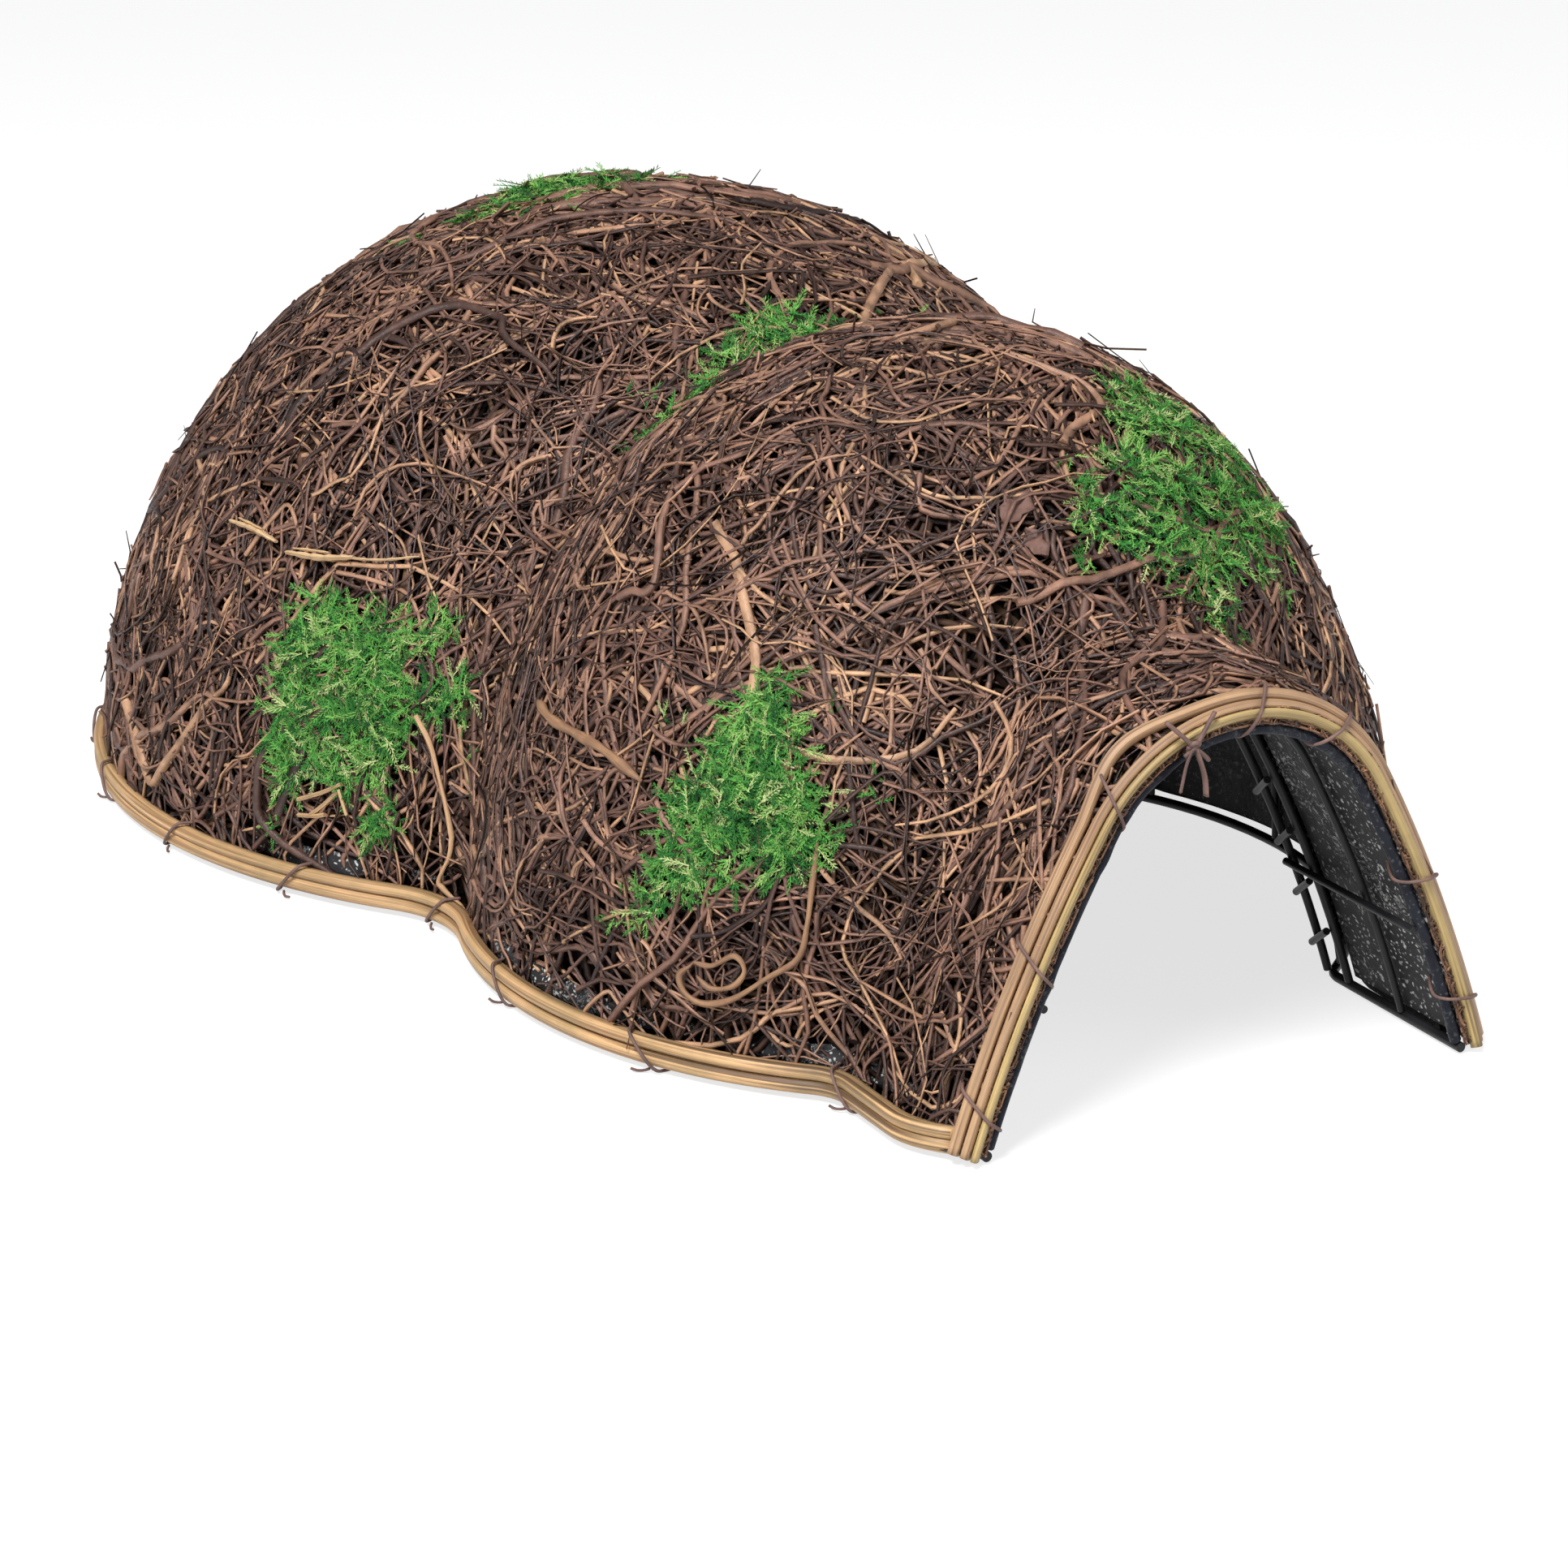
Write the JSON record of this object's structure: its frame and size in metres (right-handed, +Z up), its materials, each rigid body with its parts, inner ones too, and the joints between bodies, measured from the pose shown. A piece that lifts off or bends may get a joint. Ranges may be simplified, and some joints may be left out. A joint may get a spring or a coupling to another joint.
{
  "type": "thatched hedgehog house",
  "caption": "Low garden shelter of two joined thatched domes on a welded wire cage, with a short arched entrance tunnel, split-cane edging and moss.",
  "frame": {"origin": "on the ground, in the middle of the house's length and width", "axes": "+Z up, -Y out of the entrance, the house's long axis along Y"},
  "size_m": [0.3978, 0.5856, 0.2098],
  "materials": {
    "coated_wire": "satin black powder coat",
    "film": "dark recycled film with pale specks",
    "thatch": "rough brushwood and root strands",
    "split_cane": "split cane, satin",
    "paper_tie": "paper-covered tie wire",
    "moss": "dried dyed moss",
    "vine": "dry vine",
    "chip": "fresh-cut wood"
  },
  "bodies": {
    "root": {"base_wire": "coated_wire", "entrance_hoop": "coated_wire", "tunnel_mid_rib": "coated_wire", "tunnel_rear_hoop": "coated_wire", "doorway_hoop": "coated_wire", "hoop_struts": "coated_wire", "tunnel_stringers": "coated_wire", "passage_hoop": "coated_wire", "porch_ribs": "coated_wire", "porch_rings": "coated_wire", "chamber_ribs": "coated_wire", "chamber_rings": "coated_wire", "tunnel_liner": "film", "porch_liner": "film", "chamber_liner": "film", "tunnel_thatch": "thatch", "porch_thatch": "thatch", "chamber_thatch": "thatch", "rim_cane_lower": "split_cane", "rim_cane_upper": "split_cane", "arch_cane_inner": "split_cane", "arch_cane_middle": "split_cane", "arch_cane_outer": "split_cane", "rim_ties": "paper_tie", "arch_ties": "paper_tie", "arch_knot": "paper_tie", "moss_chamber_side": "moss", "moss_chamber_crown": "moss", "moss_chamber_rear": "moss", "moss_porch_side": "moss", "moss_porch_top": "moss", "moss_porch_far": "moss", "moss_valley": "moss", "pale_vine": "vine", "curled_vine": "vine", "wood_chips": "chip", "cut_sticks": "chip"}
  },
  "joints": []
}
